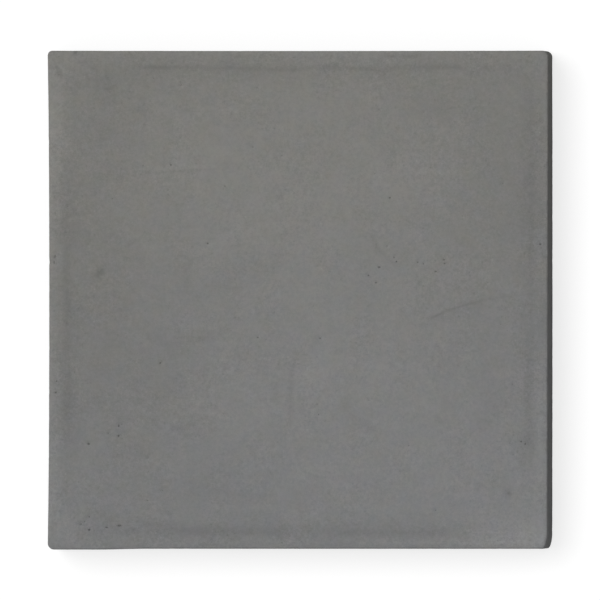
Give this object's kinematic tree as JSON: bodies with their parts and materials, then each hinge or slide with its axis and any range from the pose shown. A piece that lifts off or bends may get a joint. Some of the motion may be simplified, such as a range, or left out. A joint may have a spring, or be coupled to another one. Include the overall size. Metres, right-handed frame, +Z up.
{
  "type": "tooling slab",
  "caption": "Square grey stone slab with eased edges, standing on low non-slip rubber feet: a heavy, flat surface for stamping, punching and skiving leather.",
  "frame": {"origin": "centre of the footprint, on the plane that the four feet stand on", "axes": "+Z up, out of the working face; +X to the right and +Y to the back, along the slab's sides; the view of the picture looks down on the working face with +Y at its top"},
  "size_m": [0.305, 0.305, 0.0336],
  "materials": {
    "stone": "matte",
    "foot_rubber": "matte",
    "adhesive_foam": "matte"
  },
  "bodies": {
    "root": {"slab": "stone", "foot_front_left": "foot_rubber", "foot_front_right": "foot_rubber", "foot_back_left": "foot_rubber", "foot_back_right": "foot_rubber", "adhesive_front_left": "adhesive_foam", "adhesive_front_right": "adhesive_foam", "adhesive_back_left": "adhesive_foam", "adhesive_back_right": "adhesive_foam"}
  },
  "joints": []
}
